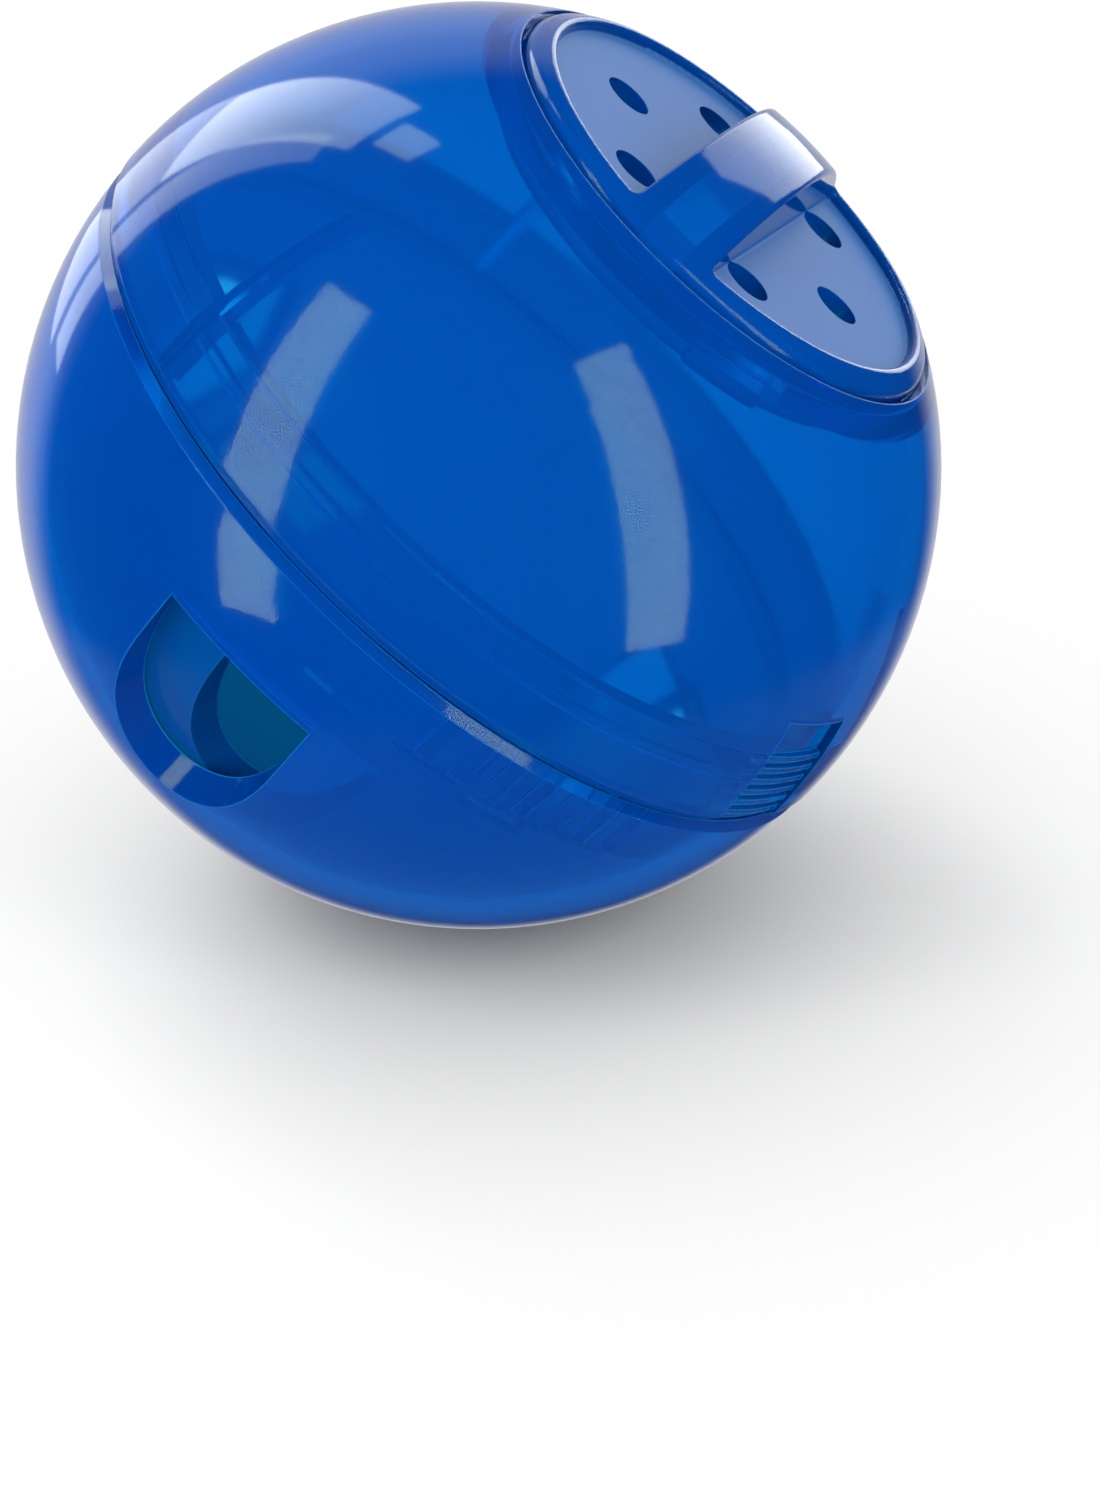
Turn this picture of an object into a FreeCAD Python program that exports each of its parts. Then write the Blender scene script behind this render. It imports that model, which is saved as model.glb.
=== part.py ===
import FreeCAD, Part
import Sketcher
import math
import os

# A food ball that stands on its lower half. Millimetres and degrees, +Z up through the fill cap, and the
# origin at the centre of the ball. Azimuths are measured about +Z from +X, which runs through the middle of
# one notch of the inner cup. Notches, keys and lugs repeat three times round the axis, and grips twice.

DRIVING = {
    # The ball and its equator
    "ball_radius": "40",
    "outer_wall": "2.4",
    "lower_step": "0.2",
    "seam_gap": "0.3",
    "bevel_height": "0.9",
    "bevel_depth": "0.6",
    "running_gap": "0.3",
    "fit_gap": "0.05",
    # The fill hole and the ledge that the cap stands on
    "fill_radius": "22",
    "edge_bevel": "0.5",
    "seat_depth": "2.2",
    "ledge_width": "1.7",
    "ledge_thickness": "1.5",
    # The finger grips: shallow recesses with cross ribs, open to the equator
    "grip_azimuth": "60.3",
    "grip_angle": "13.7",
    "grip_depth": "0.9",
    "grip_top": "11.24",
    "grip_rib_height": "0.5",
    "grip_rib_width": "0.55",
    "grip_rib_first": "1.4",
    "grip_rib_pitch": "1.2",
    # The keys that stop the cup from turning in the upper half
    "key_azimuth": "-43.7",
    "key_thickness": "1.3",
    "key_height": "1.5",
    "key_foot": "0.3",
    "key_top": "18.7",
    "key_gap": "0.15",
    # The inner cup and its snap collar
    "cup_wall": "2",
    "collar_height": "6.9",
    "collar_wall": "2.4",
    "bead_height": "0.3",
    "bead_place": "5",
    "bead_flat": "0.6",
    # The lip of the lower half, which runs in a groove of the cup
    "lip_height": "0.9",
    "lip_reach": "0.55",
    # The dispensing notches of the cup and of the lower half
    "notch_radius": "7.8",
    "notch_inset": "4.7",
    "notch_ceiling": "10.4",
    # The click teeth of the lower half and the pawl of the cup
    "tooth_azimuth": "24",
    "tooth_pitch": "5",
    "tooth_angle": "2.45",
    "tooth_height": "0.5",
    "stop_height": "0.85",
    "tooth_foot": "6.1",
    "relief_gap": "0.4",
    "pawl_angle": "1.8",
    "pawl_gap": "0.08",
    "pawl_top": "3",
    "pawl_foot": "5.6",
    "tongue_width": "5",
    "tongue_top": "1.7",
    "tongue_foot": "7.4",
    "tongue_slit": "0.8",
    # The fill cap
    "cap_gap": "0.25",
    "cap_seat_gap": "0.1",
    "cap_edge_round": "1.2",
    "rim_width": "2.15",
    "recess_depth": "1.37",
    "recess_draft": "3.5",
    "disc_thickness": "1.6",
    "bar_width": "8.4",
    "bar_hollow_width": "3.8",
    "bar_skin": "1.8",
    "bar_end_wall": "1.6",
    "bar_corner_round": "0.5",
    "bar_top_round": "0.5",
    "bar_foot_round": "0.3",
    "vent_radius": "2.15",
    "vent_middle_reach": "12.3",
    "vent_side_reach": "13.6",
    "vent_side_azimuth": "28",
    "skirt_wall": "1.6",
    "skirt_tail": "0.2",
    "lug_azimuth": "30",
    "lug_angle": "20",
    "lug_height": "2",
    "lug_reach": "1.4",
    "lug_gap": "0.2",
    "entry_gap_angle": "1.5",
    # How far the cap is shown turned about the axis
    "cap_setting": "-10",
}

# Counts, the clicks that the lower half is shown turned by, and how deep joined shapes run into each other
GRIPS = 2
GRIP_RIBS = 6
CLICK_TEETH = 5
REPEATS = 3
SETTING_CLICKS = -2
SINK = "0.5"

# Sizes that follow from the driving ones, as expressions
HALF_GAP = "(dims.seam_gap / 2)"
UPPER_INNER = "(dims.ball_radius - dims.outer_wall)"
LOWER_OUTER = "(dims.ball_radius - dims.lower_step)"
LOWER_INNER = f"({LOWER_OUTER} - dims.outer_wall)"
CUP_OUTER = f"({LOWER_INNER} - dims.running_gap)"
CUP_INNER = f"({CUP_OUTER} - dims.cup_wall)"
COLLAR_OUTER = f"({CUP_INNER} + dims.collar_wall)"
COLLAR_TOP = f"({HALF_GAP} + dims.collar_height)"
BORE_RADIUS = f"({COLLAR_OUTER} + dims.fit_gap)"
BORE_TOP = f"({COLLAR_TOP} + dims.fit_gap)"
LIP_BOTTOM = f"(-{HALF_GAP} - dims.lip_height)"
LIP_INNER = f"({CUP_OUTER} - dims.lip_reach)"
LIP_GROOVE = f"({LIP_INNER} - dims.running_gap + dims.fit_gap)"
LIP_GROOVE_BOTTOM = f"({LIP_BOTTOM} - dims.running_gap + dims.fit_gap)"
KEY_INNER = f"({UPPER_INNER} - dims.key_height)"
TOOTH_TIP = f"({LOWER_INNER} - dims.tooth_height)"
STOP_TIP = f"({LOWER_INNER} - dims.stop_height)"
RELIEF_RADIUS = f"({STOP_TIP} - dims.relief_gap)"
RELIEF_ANGLE = f"(2 * {CLICK_TEETH + 1} * dims.tooth_pitch + 1)"
PAWL_AZIMUTH = "(dims.tooth_azimuth + dims.tooth_pitch / 2)"
NOTCH_REACH = "(dims.ball_radius - dims.notch_inset)"
HOLE_EDGE = "(dims.fill_radius + dims.edge_bevel)"
HOLE_EDGE_TOP = f"sqrt(dims.ball_radius^2 - {HOLE_EDGE}^2)"
LEDGE_TOP = f"({HOLE_EDGE_TOP} - dims.seat_depth)"
LEDGE_BOTTOM = f"({LEDGE_TOP} - dims.ledge_thickness)"
LEDGE_RADIUS = "(dims.fill_radius - dims.ledge_width)"
CAP_RADIUS = "(dims.fill_radius - dims.cap_gap)"
CAP_SEAT = f"({LEDGE_TOP} + dims.cap_seat_gap)"
RECESS_RADIUS = f"({CAP_RADIUS} - dims.rim_width)"
DISC_TOP = f"(sqrt(dims.ball_radius^2 - {RECESS_RADIUS}^2) - dims.recess_depth)"
DISC_BOTTOM = f"({DISC_TOP} - dims.disc_thickness)"
SKIRT_OUTER = f"({LEDGE_RADIUS} - dims.running_gap)"
SKIRT_INNER = f"({SKIRT_OUTER} - dims.skirt_wall)"
LUG_TOP = f"({LEDGE_BOTTOM} - dims.lug_gap)"
LUG_BOTTOM = f"({LUG_TOP} - dims.lug_height)"
SKIRT_BOTTOM = f"({LUG_BOTTOM} - dims.skirt_tail)"
LUG_OUTER = f"({SKIRT_OUTER} + dims.lug_reach)"
BAR_HOLLOW_TOP = "(dims.ball_radius - dims.bar_skin)"

doc = FreeCAD.newDocument("slow_feeder_ball")
sheet = doc.addObject("Spreadsheet::Sheet", "dims")
for row, (alias, number) in enumerate(DRIVING.items(), start=1):
    sheet.set(f"A{row}", alias.replace("_", " "))
    sheet.set(f"B{row}", number)
    sheet.setAlias(f"B{row}", alias)
doc.recompute()


def value(expression):
    """The number that an expression of the sheet's sizes gives."""
    return float(sheet.evalExpression(expression.replace("dims.", "")))


def beside(radius, height):
    """The expression for the distance from the axis of a point on a sphere about the origin."""
    return f"sqrt({radius}^2 - ({height})^2)"


def origin_part(body, role):
    return next(part for part in body.Origin.OriginFeatures if part.Role == role)


def new_body(name):
    body = doc.addObject("PartDesign::Body", name)
    body.Label = name
    return body


def new_sketch(body, name, role, turn=None, shift=None):
    """A sketch on an origin plane, turned about the plane's own upright axis, or shifted along its axes."""
    sketch = body.newObject("Sketcher::SketchObject", name)
    sketch.AttachmentSupport = [(origin_part(body, role), "")]
    sketch.MapMode = "FlatFace"
    if turn is not None:
        sketch.AttachmentOffset = FreeCAD.Placement(
            FreeCAD.Vector(), FreeCAD.Rotation(FreeCAD.Vector(0, 1, 0), value(turn)))
        sketch.setExpression("AttachmentOffset.Rotation.Angle", turn)
    for axis, distance in (shift or {}).items():
        sketch.setExpression(f"AttachmentOffset.Base.{axis}", distance)
    return sketch


def constrain(sketch, size, *constraint):
    number = sketch.addConstraint(Sketcher.Constraint(*constraint, value(size)))
    sketch.setExpression(f"Constraints[{number}]", size)


def place_point(sketch, point, across, up):
    """Hold a point of the sketch at its two distances from the sketch's origin, where they are given."""
    for axis_line, kind, distance in ((-2, "DistanceX", across), (-1, "DistanceY", up)):
        if distance == "0":
            sketch.addConstraint(Sketcher.Constraint("PointOnObject", *point, axis_line))
        elif distance is not None:
            constrain(sketch, distance, kind, -1, 1, *point)


def draw_outline(sketch, corners):
    """Draw a closed outline. A corner is its distance across, its distance up, and the radius of the arc
    about the sketch's origin that leads to the next corner, or None for a straight run. The arc settles one
    of a corner's two distances."""
    spots = [(value(across), value(up)) for across, up, _ in corners]
    bends = [bend for _, _, bend in corners]
    runs = []
    for (x0, y0), (x1, y1), bend, bend_before in zip(spots, spots[1:] + spots[:1], bends,
                                                     bends[-1:] + bends[:-1]):
        if bend is None:
            line = Part.LineSegment(FreeCAD.Vector(x0, y0), FreeCAD.Vector(x1, y1))
            runs.append((sketch.addGeometry(line), 1, 2))
            continue
        first = math.atan2(y0, x0)
        sweep = (math.atan2(y1, x1) - first + math.pi) % (2 * math.pi) - math.pi
        circle = Part.Circle(FreeCAD.Vector(), FreeCAD.Vector(0, 0, 1), value(bend))
        arc = Part.ArcOfCircle(circle, first + min(sweep, 0), first + max(sweep, 0))
        number = sketch.addGeometry(arc)
        sketch.addConstraint(Sketcher.Constraint("Coincident", number, 3, -1, 1))
        if bend != bend_before:
            constrain(sketch, bend, "Radius", number)
        runs.append((number, 1, 2) if sweep > 0 else (number, 2, 1))
    for (number, _, end), (following, start, _) in zip(runs, runs[1:] + runs[:1]):
        sketch.addConstraint(Sketcher.Constraint("Coincident", number, end, following, start))
    for index, (across, up, bend) in enumerate(corners):
        number, start, _ = runs[index]
        if bend is None and bends[index - 1] is None:
            place_point(sketch, (number, start), across, up)
        elif across == "0":
            place_point(sketch, (number, start), across, None)
        else:
            place_point(sketch, (number, start), None, up)


def draw_circle(sketch, radius, across, up):
    middle = FreeCAD.Vector(value(across), value(up))
    number = sketch.addGeometry(Part.Circle(middle, FreeCAD.Vector(0, 0, 1), value(radius)))
    constrain(sketch, radius, "Radius", number)
    place_point(sketch, (number, 3), across, up)


def draw_recess(sketch, radius, edge, corner):
    """Draw the part of a disc about the origin that lies beyond an edge line, with both corners rounded."""
    disc_radius, edge_height, round_radius = value(radius), value(edge), value(corner)
    centre_up = edge_height + round_radius
    centre_across = math.sqrt((disc_radius - round_radius) ** 2 - centre_up ** 2)
    lean = math.atan2(centre_up, centre_across)
    normal = FreeCAD.Vector(0, 0, 1)
    right = Part.Circle(FreeCAD.Vector(centre_across, centre_up), normal, round_radius)
    left = Part.Circle(FreeCAD.Vector(-centre_across, centre_up), normal, round_radius)
    rim = Part.Circle(FreeCAD.Vector(), normal, disc_radius)
    edge_ends = (FreeCAD.Vector(side * centre_across, edge_height) for side in (-1, 1))
    numbers = [sketch.addGeometry(run) for run in (
        Part.LineSegment(*edge_ends),
        Part.ArcOfCircle(right, -math.pi / 2, lean),
        Part.ArcOfCircle(rim, lean, math.pi - lean),
        Part.ArcOfCircle(left, math.pi - lean, math.pi * 3 / 2))]
    line, right_arc, rim_arc, left_arc = numbers
    for number, following in zip(numbers, numbers[1:] + numbers[:1]):
        sketch.addConstraint(Sketcher.Constraint("Tangent", number, 2, following, 1))
    sketch.addConstraint(Sketcher.Constraint("Coincident", rim_arc, 3, -1, 1))
    sketch.addConstraint(Sketcher.Constraint("Horizontal", line))
    sketch.addConstraint(Sketcher.Constraint("Equal", right_arc, left_arc))
    constrain(sketch, radius, "Radius", rim_arc)
    constrain(sketch, corner, "Radius", right_arc)
    constrain(sketch, edge, "DistanceY", -1, 1, line, 1)


def draw_block(sketch, across_from, across_to, up_from, up_to):
    draw_outline(sketch, [(across_from, up_from, None), (across_to, up_from, None),
                          (across_to, up_to, None), (across_from, up_to, None)])


def volume(body):
    return 0 if body.Shape.isNull() else body.Shape.Volume


def settle(body, feature, before, adds):
    """Work the feature out, and check that it adds material, or takes it away, as it should."""
    doc.recompute()
    change = volume(body) - before
    if (change > 0) != adds or change == 0:
        raise ValueError(f"{body.Label}: {feature.Label} changed the volume by {change:.3f}")
    return feature


def turn_about_axis(body, name, sketch, angle=None, adds=True):
    """A full turn of the outline about +Z, or a part turn with the outline in its middle."""
    before = volume(body)
    feature = body.newObject("PartDesign::Revolution" if adds else "PartDesign::Groove", name)
    feature.Profile = sketch
    feature.ReferenceAxis = (sketch, ["V_Axis"])
    feature.Angle = 360
    if angle is not None:
        feature.Midplane = True
        feature.setExpression("Angle", angle)
    return settle(body, feature, before, adds)


def extrude(body, name, sketch, length, adds, symmetric=False, forward=None, draft=None):
    """Extrude an outline by a length: both ways, or forward along the sketch's normal, or backward."""
    before = volume(body)
    feature = body.newObject("PartDesign::Pad" if adds else "PartDesign::Pocket", name)
    feature.Profile = sketch
    feature.setExpression("Length", length)
    if symmetric:
        feature.SideType = "Symmetric"
    else:
        feature.Reversed = forward != adds
    if draft is not None:
        feature.setExpression("TaperAngle", draft)
    return settle(body, feature, before, adds)


def repeat_round(body, name, feature, count, spacing=None, adds=True):
    """Repeat a feature about +Z: evenly over the full turn, or at a given spacing."""
    before = volume(body)
    pattern = body.newObject("PartDesign::PolarPattern", name)
    pattern.Originals = [feature]
    pattern.Axis = (origin_part(body, "Z_Axis"), [""])
    pattern.Occurrences = count
    if spacing is None:
        pattern.Angle = 360
    else:
        pattern.Mode = "Spacing"
        pattern.setExpression("Offset", spacing)
    body.Tip = pattern
    return settle(body, pattern, before, adds)


def round_edges(body, name, radius, wanted):
    """Round the edges that a test of their middle point picks out."""
    doc.recompute()
    base = body.Tip
    names = []
    for number, edge in enumerate(base.Shape.Edges, start=1):
        middle = edge.valueAt((edge.FirstParameter + edge.LastParameter) / 2)
        if wanted(middle):
            names.append(f"Edge{number}")
    if not names:
        raise ValueError(f"{body.Label}: {name} found no edge")
    fillet = body.newObject("PartDesign::Fillet", name)
    fillet.Base = (base, names)
    fillet.setExpression("Radius", radius)
    doc.recompute()
    return fillet


def cut_notches(body):
    """Three upright notches with a half-round inner side, open outward and below, under a level ceiling."""
    sketch = new_sketch(body, "notch_outline", "XY_Plane",
                        shift={"x": NOTCH_REACH, "z": "-dims.notch_ceiling"})
    radius = "dims.notch_radius"
    far = "dims.ball_radius"
    draw_outline(sketch, [("0", radius, radius), (f"-{radius}", "0", radius), ("0", f"-{radius}", None),
                          (far, f"-{radius}", None), (far, radius, None)])
    notch = extrude(body, "notch", sketch, "dims.ball_radius", adds=False, forward=False)
    repeat_round(body, "notches", notch, REPEATS, adds=False)


def snap_bead(wall, gap):
    """The corners of the snap bead on a wall, going up, or of its groove, which leaves a gap round it."""
    low = f"(dims.bead_place - dims.bead_flat / 2 - {gap})"
    high = f"(dims.bead_place + dims.bead_flat / 2 + {gap})"
    crest = f"({wall} + dims.bead_height)"
    return [(wall, f"({low} - dims.bead_height)", None), (crest, low, None),
            (crest, high, None), (wall, f"({high} + dims.bead_height)", None)]


def make_upper_shell():
    """The upper half of the outer ball, which carries the cap and the cup."""
    body = new_body("upper_shell")
    bevel_top = f"({HALF_GAP} + dims.bevel_height)"
    profile = new_sketch(body, "shell_profile", "XZ_Plane")
    draw_outline(profile, [
        (HOLE_EDGE, HOLE_EDGE_TOP, "dims.ball_radius"),
        (beside("dims.ball_radius", bevel_top), bevel_top, None),
        ("(dims.ball_radius - dims.bevel_depth)", HALF_GAP, None),
        (BORE_RADIUS, HALF_GAP, None),
        *snap_bead(BORE_RADIUS, "dims.fit_gap"),
        (BORE_RADIUS, BORE_TOP, None),
        (beside(UPPER_INNER, BORE_TOP), BORE_TOP, UPPER_INNER),
        (beside(UPPER_INNER, LEDGE_BOTTOM), LEDGE_BOTTOM, None),
        (LEDGE_RADIUS, LEDGE_BOTTOM, None),
        (LEDGE_RADIUS, LEDGE_TOP, None),
        ("dims.fill_radius", LEDGE_TOP, None),
        ("dims.fill_radius", f"({HOLE_EDGE_TOP} - dims.edge_bevel)", None),
    ])
    turn_about_axis(body, "shell", profile)

    entry = new_sketch(body, "entry_outline", "XZ_Plane", turn="dims.cap_setting + dims.lug_azimuth")
    draw_block(entry, f"({LEDGE_RADIUS} - {SINK})", f"({LUG_OUTER} + dims.running_gap)",
               f"({LEDGE_BOTTOM} - {SINK})", f"({LEDGE_TOP} + {SINK})")
    slot = turn_about_axis(body, "entry", entry, "dims.lug_angle + 2 * dims.entry_gap_angle", adds=False)
    repeat_round(body, "entries", slot, REPEATS, adds=False)

    key = new_sketch(body, "key_outline", "XZ_Plane", turn="dims.key_azimuth")
    inside_wall = f"({UPPER_INNER} + dims.outer_wall / 3)"
    draw_outline(key, [
        (beside(KEY_INNER, "dims.key_foot"), "dims.key_foot", KEY_INNER),
        (beside(KEY_INNER, "dims.key_top"), "dims.key_top", None),
        (beside(inside_wall, "dims.key_top"), "dims.key_top", inside_wall),
        (beside(inside_wall, "dims.key_foot"), "dims.key_foot", None),
    ])
    rib = extrude(body, "key", key, "dims.key_thickness", adds=True, symmetric=True)
    repeat_round(body, "keys", rib, REPEATS)

    grip = new_sketch(body, "grip_outline", "XZ_Plane", turn="dims.grip_azimuth")
    floor = "(dims.ball_radius - dims.grip_depth)"
    crest = f"({floor} + dims.grip_rib_height)"
    outside = "(dims.ball_radius + dims.grip_depth)"
    comb = [(outside, "dims.grip_top", None), (outside, "0", None), (floor, "0", floor)]
    for rib_number in range(GRIP_RIBS):
        middle = f"(dims.grip_rib_first + {rib_number} * dims.grip_rib_pitch)"
        low = f"({middle} - dims.grip_rib_width / 2)"
        high = f"({middle} + dims.grip_rib_width / 2)"
        comb += [(beside(floor, low), low, None), (beside(crest, low), low, crest),
                 (beside(crest, high), high, None), (beside(floor, high), high, floor)]
    comb.append((beside(floor, "dims.grip_top"), "dims.grip_top", None))
    draw_outline(grip, comb)
    recess = turn_about_axis(body, "grip", grip, "dims.grip_angle", adds=False)
    repeat_round(body, "grips", recess, GRIPS, adds=False)
    return body


def make_shutter_cup():
    """The inner cup, snapped and keyed into the upper half, with the notches that stay still."""
    body = new_body("shutter_cup")
    profile = new_sketch(body, "cup_profile", "XZ_Plane")
    draw_outline(profile, [
        ("0", f"-{CUP_OUTER}", CUP_OUTER),
        (beside(CUP_OUTER, LIP_GROOVE_BOTTOM), LIP_GROOVE_BOTTOM, None),
        (LIP_GROOVE, LIP_GROOVE_BOTTOM, None),
        (LIP_GROOVE, HALF_GAP, None),
        (COLLAR_OUTER, HALF_GAP, None),
        *snap_bead(COLLAR_OUTER, "0"),
        (COLLAR_OUTER, COLLAR_TOP, None),
        (CUP_INNER, COLLAR_TOP, None),
        (CUP_INNER, "0", CUP_INNER),
        ("0", f"-{CUP_INNER}", None),
    ])
    turn_about_axis(body, "cup", profile)

    slot = new_sketch(body, "key_slot_outline", "XZ_Plane", turn="dims.key_azimuth")
    draw_block(slot, f"({CUP_INNER} - {SINK})", f"({COLLAR_OUTER} + dims.bead_height + {SINK})",
               HALF_GAP, f"({COLLAR_TOP} + {SINK})")
    key_slot = extrude(body, "key_slot", slot, "dims.key_thickness + 2 * dims.key_gap", adds=False,
                       symmetric=True)
    repeat_round(body, "key_slots", key_slot, REPEATS, adds=False)

    relief_bottom = f"(-dims.tooth_foot - dims.running_gap - {SINK})"
    relief = new_sketch(body, "relief_outline", "XZ_Plane", turn=PAWL_AZIMUTH)
    outside = f"({CUP_OUTER} + {SINK})"
    relief_top = LIP_GROOVE_BOTTOM
    draw_outline(relief, [
        (beside(RELIEF_RADIUS, relief_bottom), relief_bottom, RELIEF_RADIUS),
        (beside(RELIEF_RADIUS, relief_top), relief_top, None),
        (outside, relief_top, None),
        (outside, relief_bottom, None),
    ])
    turn_about_axis(body, "relief", relief, RELIEF_ANGLE, adds=False)

    pawl_tip = f"({TOOTH_TIP} - dims.pawl_gap)"
    pawl_root = f"({RELIEF_RADIUS} - {SINK})"
    pawl = new_sketch(body, "pawl_outline", "XZ_Plane", turn=PAWL_AZIMUTH)
    draw_outline(pawl, [
        (beside(pawl_root, "-dims.pawl_foot"), "-dims.pawl_foot", pawl_root),
        (beside(pawl_root, "-dims.pawl_top"), "-dims.pawl_top", None),
        (beside(pawl_tip, "-dims.pawl_top"), "-dims.pawl_top", pawl_tip),
        (beside(pawl_tip, "-dims.pawl_foot"), "-dims.pawl_foot", None),
    ])
    turn_about_axis(body, "pawl", pawl, "dims.pawl_angle")

    tongue = new_sketch(body, "tongue_outline", "YZ_Plane", turn=PAWL_AZIMUTH)
    half = "(dims.tongue_width / 2)"
    far_half = f"({half} + dims.tongue_slit)"
    far_foot = "(-dims.tongue_foot - dims.tongue_slit)"
    draw_outline(tongue, [
        (half, "-dims.tongue_top", None), (half, "-dims.tongue_foot", None),
        (f"-{half}", "-dims.tongue_foot", None), (f"-{half}", "-dims.tongue_top", None),
        (f"-{far_half}", "-dims.tongue_top", None), (f"-{far_half}", far_foot, None),
        (far_half, far_foot, None), (far_half, "-dims.tongue_top", None),
    ])
    extrude(body, "tongue_slit", tongue, "dims.ball_radius", adds=False, forward=True)
    cut_notches(body)
    return body


def make_lower_shell():
    """The lower half of the outer ball, which turns on the cup and clicks past its pawl."""
    body = new_body("lower_shell")
    profile = new_sketch(body, "shell_profile", "XZ_Plane")
    bevel_bottom = f"(-{HALF_GAP} - dims.bevel_height)"
    draw_outline(profile, [
        ("0", f"-{LOWER_OUTER}", LOWER_OUTER),
        (beside(LOWER_OUTER, bevel_bottom), bevel_bottom, None),
        (f"({LOWER_OUTER} - dims.bevel_depth)", f"-{HALF_GAP}", None),
        (LIP_INNER, f"-{HALF_GAP}", None),
        (LIP_INNER, LIP_BOTTOM, None),
        (beside(LOWER_INNER, LIP_BOTTOM), LIP_BOTTOM, LOWER_INNER),
        ("0", f"-{LOWER_INNER}", None),
    ])
    turn_about_axis(body, "shell", profile)

    stop_spacing = f"{CLICK_TEETH + 1} * dims.tooth_pitch"
    for name, tip, azimuth, count, spacing in (
            ("stop", STOP_TIP, "dims.tooth_azimuth", 2, stop_spacing),
            ("tooth", TOOTH_TIP, "dims.tooth_azimuth + dims.tooth_pitch", CLICK_TEETH, "dims.tooth_pitch")):
        sketch = new_sketch(body, f"{name}_outline", "XZ_Plane", turn=azimuth)
        root = f"({LOWER_INNER} + {SINK})"
        top = f"({LIP_BOTTOM} + dims.lip_height / 3)"
        draw_outline(sketch, [
            (beside(tip, "-dims.tooth_foot"), "-dims.tooth_foot", tip),
            (beside(tip, top), top, None),
            (beside(root, top), top, root),
            (beside(root, "-dims.tooth_foot"), "-dims.tooth_foot", None),
        ])
        tooth = turn_about_axis(body, name, sketch, "dims.tooth_angle")
        repeat_round(body, f"{name}_row", tooth, count, spacing)
    cut_notches(body)
    body.setExpression(".Placement.Rotation.Angle", f"{SETTING_CLICKS} * dims.tooth_pitch")
    return body


def make_cap():
    """The fill cap: a ring and a sunken disc with a hollow grip bar across it, over a skirt with lugs."""
    body = new_body("cap")
    rim_top = f"sqrt(dims.ball_radius^2 - {CAP_RADIUS}^2)"
    profile = new_sketch(body, "cap_profile", "XZ_Plane")
    draw_outline(profile, [
        ("0", "dims.ball_radius", "dims.ball_radius"),
        (CAP_RADIUS, rim_top, None),
        (CAP_RADIUS, CAP_SEAT, None),
        (SKIRT_OUTER, CAP_SEAT, None),
        (SKIRT_OUTER, SKIRT_BOTTOM, None),
        (SKIRT_INNER, SKIRT_BOTTOM, None),
        (SKIRT_INNER, DISC_BOTTOM, None),
        ("0", DISC_BOTTOM, None),
    ])
    turn_about_axis(body, "dome", profile)

    outline = new_sketch(body, "recess_outline", "XY_Plane", shift={"z": DISC_TOP})
    draw_recess(outline, RECESS_RADIUS, "dims.bar_width / 2", "dims.bar_corner_round")
    recess = extrude(body, "recess", outline, "dims.ball_radius", adds=False, forward=True,
                     draft="dims.recess_draft")
    repeat_round(body, "recesses", recess, 2, adds=False)

    floor = value(DISC_TOP)
    inside = value(RECESS_RADIUS) + value("dims.rim_width") / 2
    ball = value("dims.ball_radius")
    near = 0.01

    def in_recess(middle):
        return math.hypot(middle.x, middle.y) < inside

    def on_recess_mouth(middle):
        return in_recess(middle) and abs(middle.Length - ball) < near

    def on_recess_floor(middle):
        return in_recess(middle) and abs(middle.z - floor) < near

    def on_outer_edge(middle):
        return not in_recess(middle) and abs(middle.Length - ball) < near

    round_edges(body, "recess_mouths", "dims.bar_top_round", on_recess_mouth)
    round_edges(body, "recess_floors", "dims.bar_foot_round", on_recess_floor)
    round_edges(body, "outer_edge", "dims.cap_edge_round", on_outer_edge)

    hollow = new_sketch(body, "hollow_outline", "XZ_Plane")
    half_length = f"({RECESS_RADIUS} - dims.bar_end_wall)"
    hollow_side_top = beside(BAR_HOLLOW_TOP, half_length)
    hollow_bottom = f"({DISC_BOTTOM} - {SINK})"
    draw_outline(hollow, [
        (half_length, hollow_bottom, None), (half_length, hollow_side_top, BAR_HOLLOW_TOP),
        (f"-{half_length}", hollow_side_top, None), (f"-{half_length}", hollow_bottom, None),
    ])
    extrude(body, "bar_hollow", hollow, "dims.bar_hollow_width", adds=False, symmetric=True)

    lug_outline = new_sketch(body, "lug_outline", "XZ_Plane", turn="dims.lug_azimuth")
    draw_block(lug_outline, f"({SKIRT_OUTER} - {SINK})", LUG_OUTER, LUG_BOTTOM, LUG_TOP)
    lug = turn_about_axis(body, "lug", lug_outline, "dims.lug_angle")
    repeat_round(body, "lugs", lug, REPEATS)

    vents = new_sketch(body, "vent_outlines", "XY_Plane", shift={"z": f"{DISC_TOP} + dims.bar_foot_round"})
    side = "dims.vent_side_azimuth"
    for azimuth, vent_reach in (("90", "dims.vent_middle_reach"), ("270", "dims.vent_middle_reach"),
                                (side, "dims.vent_side_reach"), (f"(180 - {side})", "dims.vent_side_reach"),
                                (f"(180 + {side})", "dims.vent_side_reach"),
                                (f"(360 - {side})", "dims.vent_side_reach")):
        draw_circle(vents, "dims.vent_radius", f"{vent_reach} * cos({azimuth})",
                    f"{vent_reach} * sin({azimuth})")
    extrude(body, "vents", vents, "dims.disc_thickness + 1", adds=False, forward=False)
    body.setExpression(".Placement.Rotation.Angle", "dims.cap_setting")
    return body


parts = [make_upper_shell(), make_shutter_cup(), make_lower_shell(), make_cap()]
doc.recompute()

for item in doc.Objects:
    if {"Invalid", "Error"} & set(item.State):
        raise ValueError(f"{item.Label} is in state {item.State}")
for part in parts:
    if part.Shape.isNull() or not part.Shape.isValid() or len(part.Shape.Solids) != 1:
        raise ValueError(f"{part.Label} isn't one valid solid")

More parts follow.
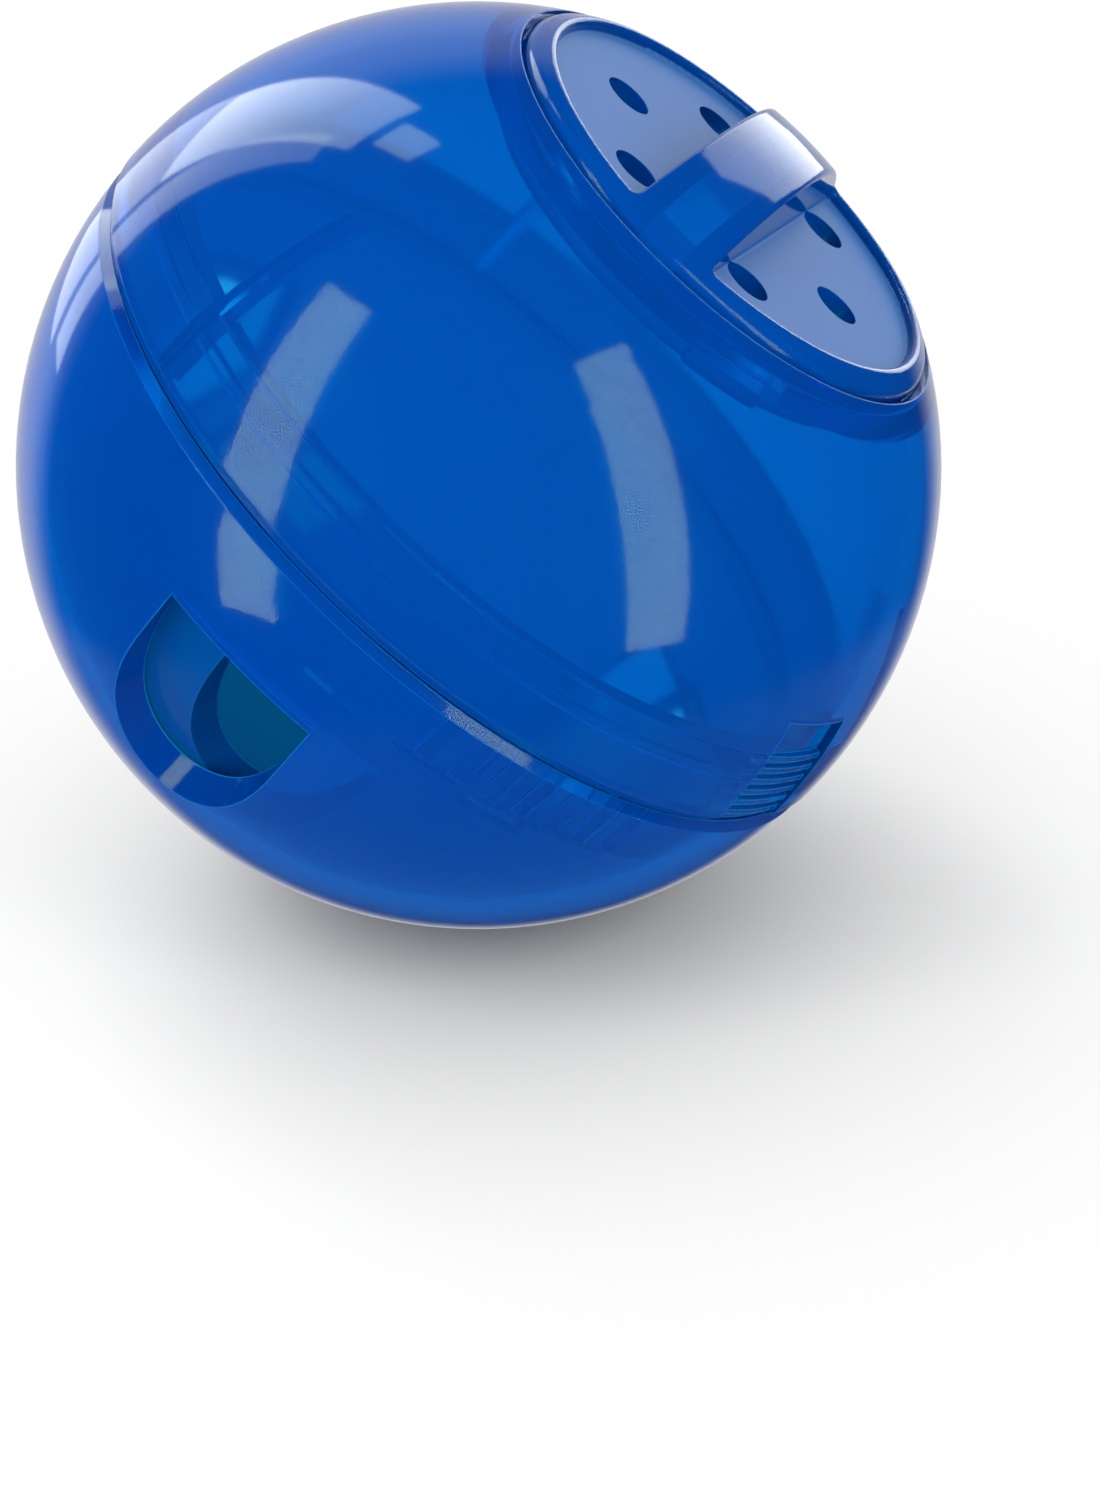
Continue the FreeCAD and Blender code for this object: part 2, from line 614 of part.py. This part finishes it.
os.makedirs("parts", exist_ok=True)
for part in parts:
    part.Shape.exportStep(f"parts/{part.Label}.step")
    print(f"{part.Label}: {part.Shape.Volume:.1f} mm3")
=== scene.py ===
import math

import bmesh
import bpy
from mathutils import Matrix, Vector

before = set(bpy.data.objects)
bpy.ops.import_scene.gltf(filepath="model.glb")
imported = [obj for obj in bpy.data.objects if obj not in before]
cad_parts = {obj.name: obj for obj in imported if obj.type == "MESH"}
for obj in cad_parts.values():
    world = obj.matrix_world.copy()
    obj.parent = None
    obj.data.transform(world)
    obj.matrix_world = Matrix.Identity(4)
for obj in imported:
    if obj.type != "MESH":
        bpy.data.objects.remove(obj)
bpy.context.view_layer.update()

MM = 0.001

# The photograph's view of the ball. Directions are azimuth and elevation in the row's frame, in degrees, and
# the aim is how far to the right of the ball's centre and above it the camera looks.
BALL_RADIUS = 40 * MM
UPRIGHT = (-84.52, 49.93)
CAMERA_DIRECTION = (-5.2, 23.02)
CAMERA_DISTANCE = 358.4 * MM
CAMERA_AIM = (6.03 * MM, -24.07 * MM)
CLIP_START = 10 * MM
IMAGE_HEIGHT = 1492
FOCAL_PIXELS = 4122.25
SENSOR_HEIGHT = 36

# The softboxes: azimuth from the camera's side, positive to its right, elevation above level, width, height
# and how bright their faces are. softbox_back and softbox_back_edge leave a narrow dark gap between their
# lower parts.
SOFTBOXES = {
    "softbox_left": (-55, 20, 0.17, 0.90, 5.3),
    "softbox_right": (41, 12, 0.17, 0.82, 4.9),
    "softbox_back": (-148.5, 38, 0.18, 0.50, 4.2),
    "softbox_back_low": (-148.5, 4, 0.18, 0.26, 1.6),
    "softbox_back_edge": (-134, 24, 0.09, 0.70, 2.0),
    "softbox_behind_cap": (146, 18, 0.34, 0.46, 2.8),
    "softbox_high": (-147, 68, 0.08, 0.11, 4.0),
}
SOFTBOX_DISTANCE = 0.62

# The softboxes within this azimuth of the camera's side are also seen through the plastic, and those named
# here light nothing and only show in reflections.
FRONT_AZIMUTH = 90
GLOSS_ONLY = {"softbox_behind_cap"}

# The dark studio behind the softboxes, which only reflections see. It is open behind the ball, towards this
# azimuth, and fades in between these angles from there, so that the ball's sides don't mist over. The open
# part lets this share of the white world through.
STUDIO_RADIUS = 0.9
STUDIO_SEGMENTS = 48
STUDIO_RINGS = 24
STUDIO_OPENING = -174
STUDIO_FADE = (36, 52)
STUDIO_BLACK = 0.01
STUDIO_OPEN = 0.7

# How strongly the world lights matte surfaces
FILL_STRENGTH = 0.7

# The floor: its radius, its number of sides and how pale it is, the shares of its radius between which it
# fades out, and how far reflections see through it
FLOOR_RADIUS = 0.16
FLOOR_SIDES = 96
FLOOR_PALENESS = 0.9
FLOOR_FADE = (0.09, 0.55)
FLOOR_DIMMED = 0.88

# The plastic: how fast its dye takes light away for each metre, its refractive index, the tint of its clear
# part, and how rough and strong its reflections are and how they are tinted. The moulding's unevenness varies
# the roughness between these shares of it.
DYE_DENSITY = 1300
REFRACTIVE_INDEX = 1.49
CLEAR_TINT = (0.6, 0.9, 1)
ROUGHNESS = 0.07
ROUGHNESS_SHARES = (0.7, 1.4)
GLOSS = 0.38
SHEEN = (0.42, 0.6, 0.2)
FLOW = {"Scale": 55, "Detail": 3}
FLOW_RELIEF = {"Strength": 0.06, "Distance": 0.4 * MM}

# The plastic's colour to the rays that come from matte surfaces, and what its shadow lets through
SEEN_FROM_MATTE = (0.03, 0.04, 0.06)
SHADOW_PASSES = 0.5

# The moulded edges, with a painted highlight in a pale colour that stands in for the light they gather: how
# far they are rounded, the highlight's colour and its share, and the cosines between which the turn of the
# normal brings it in
EDGE_RADIUS = 0.2 * MM
EDGE_HIGHLIGHT_COLOR = (0.01, 0.36, 0.9)
EDGE_HIGHLIGHT_SHARE = 0.55
EDGE_COSINES = (0.8, 0.97)

# The cap's sunken disc with the small fillet round it: its top, its radius, the short distances over which
# its matte face ends there, and the cosines between which a face that turns from level is a vent's wall
DISC_TOP = 33.9 * MM
DISC_RADIUS = 19.7 * MM
DISC_TOP_FADE = 0.1 * MM
DISC_SIDE_FADE = 0.2 * MM
DISC_COSINES = (0.3, 0.8)
MATTE = {"Roughness": 0.55, "Specular IOR Level": 0.15}
GRAIN = {"Scale": 2200, "Detail": 2}
GRAIN_RELIEF = {"Strength": 0.25, "Distance": 0.05 * MM}

# Each node's plastic: its dye, the colour of its milky part, the share of its clear part, and what differs
# from the values above
PLASTICS = {
    "upper_shell": {"name": "upper_plastic", "dye": (0.04, 0.86, 0.99), "body": (0, 0.13, 0.74),
                    "clear": 0.68},
    "lower_shell": {"name": "lower_plastic", "dye": (0.04, 0.86, 0.99), "body": (0, 0.13, 0.80),
                    "clear": 0.7},
    # The cup's edges get a smaller share of the painted edge highlight
    "shutter_cup": {"name": "cup_plastic", "dye": (0.04, 0.86, 0.97), "body": (0, 0.13, 0.62),
                    "clear": 0.65, "density": 900, "index": 1.3, "edge": 0.3},
    "cap": {"name": "cap_plastic", "dye": (0.04, 0.84, 0.99), "body": (0, 0.11, 0.6),
            "clear": 0.5, "disc": (0.045, 0.17, 0.50)},
}


def direction(azimuth, elevation):
    """A unit vector in the row's frame."""
    a, e = math.radians(azimuth), math.radians(elevation)
    return Vector((math.cos(a) * math.cos(e), math.sin(a) * math.cos(e), math.sin(e)))


def grey(level):
    return level, level, level, 1


def studio_axes():
    """The photograph's right, up and towards-the-camera directions, level with its floor."""
    up = direction(*UPRIGHT)
    toward = direction(*CAMERA_DIRECTION)
    right = up.cross(toward).normalized()
    return right, up, right.cross(up)


def studio_direction(azimuth, elevation=0):
    """A unit vector by its azimuth from the camera's side and its elevation above level."""
    right, up, level = studio_axes()
    a, e = math.radians(azimuth), math.radians(elevation)
    return (level * math.cos(a) + right * math.sin(a)) * math.cos(e) + up * math.sin(e)


def add_object(name, data, axes, place):
    """An object in the scene with these X, Y and Z axes at this place."""
    added = bpy.data.objects.new(name, data)
    added.matrix_world = Matrix.Translation(place) @ Matrix(axes).transposed().to_4x4()
    bpy.context.scene.collection.objects.link(added)
    return added


def add_upright(name, data, back, place):
    """An upright object whose Z axis points back from where it looks, as a camera's or a lamp's does."""
    _, up, _ = studio_axes()
    side = up.cross(back).normalized()
    return add_object(name, data, (side, back.cross(side), back), place)


def add_camera():
    right, _, _ = studio_axes()
    toward = direction(*CAMERA_DIRECTION)
    place = toward * CAMERA_DISTANCE
    across, along = CAMERA_AIM
    lift = toward.cross(right).normalized()
    aim = right * across + lift * along
    data = bpy.data.cameras.new("photo_camera")
    data.sensor_fit = "VERTICAL"
    data.sensor_height = SENSOR_HEIGHT
    data.lens = FOCAL_PIXELS / IMAGE_HEIGHT * SENSOR_HEIGHT
    data.clip_start = CLIP_START
    bpy.context.scene.camera = add_upright("photo_camera", data, (place - aim).normalized(), place)


def add_softboxes():
    for name, (azimuth, elevation, width, height, radiance) in SOFTBOXES.items():
        data = bpy.data.lights.new(name, "AREA")
        data.shape = "RECTANGLE"
        data.size = width
        data.size_y = height
        data.energy = radiance * math.pi * width * height
        out = studio_direction(azimuth, elevation)
        light = add_upright(name, data, out, out * SOFTBOX_DISTANCE)
        light.visible_transmission = abs(azimuth) < FRONT_AZIMUTH
        light.visible_diffuse = name not in GLOSS_ONLY


class Nodes:
    """A node tree that is built by adding nodes and joining sockets."""

    def __init__(self, owner):
        owner.use_nodes = True
        self.tree = owner.node_tree
        self.tree.nodes.clear()

    def add(self, kind, inputs=None, **settings):
        node = self.tree.nodes.new(kind)
        for key, setting in settings.items():
            setattr(node, key, setting)
        for socket, number in (inputs or {}).items():
            node.inputs[socket].default_value = number
        return node

    def join(self, source, target):
        self.tree.links.new(source, target)

    def mix(self, factor, first, second):
        """Two shaders mixed by a number, or by a socket."""
        node = self.add("ShaderNodeMixShader")
        if isinstance(factor, (int, float)):
            node.inputs["Fac"].default_value = factor
        else:
            self.join(factor, node.inputs["Fac"])
        self.join(first, node.inputs[1])
        self.join(second, node.inputs[2])
        return node.outputs[0]

    def most(self, first, second):
        """The larger of two sockets."""
        node = self.add("ShaderNodeMath", operation="MAXIMUM")
        self.join(first, node.inputs[0])
        self.join(second, node.inputs[1])
        return node.outputs[0]

    def spread(self, source, low, high, start=0, end=1, kind="LINEAR"):
        """A socket's range from start to end, spread from low to high."""
        node = self.add("ShaderNodeMapRange", {"From Min": start, "From Max": end, "To Min": low,
                                               "To Max": high}, interpolation_type=kind)
        self.join(source, node.inputs["Value"])
        return node.outputs["Result"]

    def length(self, source):
        """The length of a vector socket."""
        node = self.add("ShaderNodeVectorMath", operation="LENGTH")
        self.join(source, node.inputs[0])
        return node.outputs["Value"]

    def part(self, source, axis):
        """The X, Y or Z part of a vector socket."""
        node = self.add("ShaderNodeSeparateXYZ")
        self.join(source, node.inputs[0])
        return node.outputs[axis]

    def relief(self, coordinates, noise, bump):
        """Noise over the object, and the normal of the relief that it makes."""
        texture = self.add("ShaderNodeTexNoise", noise)
        self.join(coordinates.outputs["Object"], texture.inputs["Vector"])
        bumped = self.add("ShaderNodeBump", bump)
        self.join(texture.outputs["Fac"], bumped.inputs["Height"])
        return texture.outputs["Fac"], bumped.outputs["Normal"]

    def show(self, kind, surface):
        """The tree's output node, which shows this surface."""
        node = self.add(kind)
        self.join(surface, node.inputs["Surface"])
        return node


def add_world():
    """White to the camera, in reflections and through the plastic, and a plain fill on everything else."""
    world = bpy.data.worlds.new("studio")
    bpy.context.scene.world = world
    nodes = Nodes(world)
    path = nodes.add("ShaderNodeLightPath")
    seen = nodes.most(path.outputs["Is Camera Ray"], path.outputs["Is Glossy Ray"])
    seen = nodes.most(seen, path.outputs["Is Transmission Ray"])
    background = nodes.add("ShaderNodeBackground", {"Color": grey(1)})
    nodes.join(nodes.spread(seen, FILL_STRENGTH, 1), background.inputs["Strength"])
    nodes.show("ShaderNodeOutputWorld", background.outputs[0])


def floor_material():
    """A pale matte floor that fades out towards its edge and isn't seen from below."""
    material = bpy.data.materials.new("pale_floor")
    nodes = Nodes(material)
    coordinates = nodes.add("ShaderNodeTexCoord")
    start, end = (share * FLOOR_RADIUS for share in FLOOR_FADE)
    faded = nodes.spread(nodes.length(coordinates.outputs["Object"]), 0, 1, start, end, "SMOOTHSTEP")
    geometry = nodes.add("ShaderNodeNewGeometry")
    hidden = nodes.most(faded, geometry.outputs["Backfacing"])
    path = nodes.add("ShaderNodeLightPath")
    hidden = nodes.most(hidden, nodes.spread(path.outputs["Is Glossy Ray"], 0, FLOOR_DIMMED))
    surface = nodes.add("ShaderNodeBsdfDiffuse", {"Color": grey(FLOOR_PALENESS)})
    clear = nodes.add("ShaderNodeBsdfTransparent")
    nodes.show("ShaderNodeOutputMaterial", nodes.mix(hidden, surface.outputs[0], clear.outputs[0]))
    return material


def add_floor():
    """A round piece of floor that touches the ball below, square to the photograph's upright."""
    right, up, level = studio_axes()
    turns = [2 * math.pi * k / FLOOR_SIDES for k in range(FLOOR_SIDES)]
    mesh = bpy.data.meshes.new("floor")
    mesh.from_pydata([(math.cos(t) * FLOOR_RADIUS, math.sin(t) * FLOOR_RADIUS, 0) for t in turns],
                     [], [list(range(FLOOR_SIDES))])
    mesh.materials.append(floor_material())
    add_object("floor", mesh, (right, -level, up), up * -BALL_RADIUS)


def studio_material():
    """Black cloth that fades out towards its opening, which lies along its own Y axis."""
    material = bpy.data.materials.new("dark_studio")
    nodes = Nodes(material)
    coordinates = nodes.add("ShaderNodeTexCoord")
    near, far = (STUDIO_RADIUS * math.cos(math.radians(angle)) for angle in STUDIO_FADE)
    opened = nodes.spread(nodes.part(coordinates.outputs["Object"], "Y"), 0, 1, far, near, "SMOOTHSTEP")
    black = nodes.add("ShaderNodeBsdfDiffuse", {"Color": grey(STUDIO_BLACK)})
    clear = nodes.add("ShaderNodeBsdfTransparent", {"Color": grey(STUDIO_OPEN)})
    nodes.show("ShaderNodeOutputMaterial", nodes.mix(opened, black.outputs[0], clear.outputs[0]))
    return material


def add_dark_studio():
    """A dark sphere round everything, which only reflections meet."""
    _, up, _ = studio_axes()
    opening = studio_direction(STUDIO_OPENING)
    mesh = bpy.data.meshes.new("dark_studio")
    sphere = bmesh.new()
    bmesh.ops.create_uvsphere(sphere, u_segments=STUDIO_SEGMENTS, v_segments=STUDIO_RINGS,
                              radius=STUDIO_RADIUS)
    sphere.to_mesh(mesh)
    sphere.free()
    mesh.materials.append(studio_material())
    studio = add_object("dark_studio", mesh, (opening.cross(up), opening, up), Vector())
    studio.visible_camera = False
    studio.visible_diffuse = False
    studio.visible_transmission = False
    studio.visible_shadow = False


def plastic(name, dye, body, clear, density=DYE_DENSITY, index=REFRACTIVE_INDEX, edge=EDGE_HIGHLIGHT_SHARE, disc=None):
    """Glossy translucent plastic: a clear part that its dye colours with depth and a milky part, with fine
    moulding unevenness and a painted highlight on its edges. A disc colour makes the cap's sunken disc matte."""
    material = bpy.data.materials.new(name)
    nodes = Nodes(material)
    coordinates = nodes.add("ShaderNodeTexCoord")
    flow, wavy = nodes.relief(coordinates, FLOW, FLOW_RELIEF)
    bevel = nodes.add("ShaderNodeBevel", {"Radius": EDGE_RADIUS})
    nodes.join(wavy, bevel.inputs["Normal"])
    rough = nodes.spread(flow, *(ROUGHNESS * share for share in ROUGHNESS_SHARES))

    gloss = {"Specular IOR Level": GLOSS, "Specular Tint": (*SHEEN, 1)}
    glass = nodes.add("ShaderNodeBsdfPrincipled", {
        "Base Color": (*CLEAR_TINT, 1), "Transmission Weight": 1, "IOR": index, **gloss})
    milk = nodes.add("ShaderNodeBsdfPrincipled", {
        "Base Color": (*body, 1), "IOR": REFRACTIVE_INDEX, **gloss})
    for shader in (glass, milk):
        nodes.join(rough, shader.inputs["Roughness"])
        nodes.join(bevel.outputs["Normal"], shader.inputs["Normal"])
    surface = nodes.mix(clear, milk.outputs[0], glass.outputs[0])
    # The rounded edges get a painted highlight, a pale matte colour
    surface = with_painted_edge_highlight(nodes, bevel, surface, edge)
    if disc is not None:
        surface = with_matte_disc(nodes, coordinates, surface, disc)

    path = nodes.add("ShaderNodeLightPath")
    shade = nodes.add("ShaderNodeBsdfDiffuse", {"Color": (*SEEN_FROM_MATTE, 1)})
    surface = nodes.mix(path.outputs["Is Diffuse Ray"], surface, shade.outputs[0])
    through = nodes.add("ShaderNodeBsdfTransparent", {"Color": grey(SHADOW_PASSES)})
    surface = nodes.mix(path.outputs["Is Shadow Ray"], surface, through.outputs[0])
    output = nodes.show("ShaderNodeOutputMaterial", surface)
    depth = nodes.add("ShaderNodeVolumeAbsorption", {"Color": (*dye, 1), "Density": density})
    nodes.join(depth.outputs[0], output.inputs["Volume"])
    return material


def with_painted_edge_highlight(nodes, bevel, surface, share):
    """The same surface, with a painted highlight in a pale matte colour where the rounded normal turns away
    from the face's own.
    """
    geometry = nodes.add("ShaderNodeNewGeometry")
    turn = nodes.add("ShaderNodeVectorMath", operation="DOT_PRODUCT")
    nodes.join(bevel.outputs["Normal"], turn.inputs[0])
    nodes.join(geometry.outputs["True Normal"], turn.inputs[1])
    # How much painted highlight each edge gets, and the pale colour that paints it
    edge_highlight_mask = nodes.spread(turn.outputs["Value"], share, 0, *EDGE_COSINES)
    pale = nodes.add("ShaderNodeBsdfDiffuse", {"Color": (*EDGE_HIGHLIGHT_COLOR, 1)})
    return nodes.mix(edge_highlight_mask, surface, pale.outputs[0])


def with_matte_disc(nodes, coordinates, surface, color):
    """The same surface, but with fine spark texture and a milky matte look where it faces up and lies on the
    disc, which leaves out the walls of the vents."""
    _, pitted = nodes.relief(coordinates, GRAIN, GRAIN_RELIEF)
    matte = nodes.add("ShaderNodeBsdfPrincipled", {"Base Color": (*color, 1), **MATTE})
    nodes.join(pitted, matte.inputs["Normal"])
    height = nodes.part(coordinates.outputs["Object"], "Z")
    above = nodes.spread(height, 0, 1, DISC_TOP - DISC_TOP_FADE, DISC_TOP)
    flat = nodes.add("ShaderNodeVectorMath", {1: (1, 1, 0)}, operation="MULTIPLY")
    nodes.join(coordinates.outputs["Object"], flat.inputs[0])
    reach = nodes.length(flat.outputs[0])
    beyond = nodes.spread(reach, 0, 1, DISC_RADIUS, DISC_RADIUS + DISC_SIDE_FADE)
    steep = nodes.spread(nodes.part(coordinates.outputs["Normal"], "Z"), 1, 0, *DISC_COSINES)
    glossy = nodes.most(nodes.most(above, beyond), steep)
    return nodes.mix(glossy, matte.outputs[0], surface)


add_camera()
add_world()
add_softboxes()
add_floor()
add_dark_studio()
for node, look in PLASTICS.items():
    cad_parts[node].material_slots[0].material = plastic(**look)

bpy.context.scene.view_settings.view_transform = "Standard"
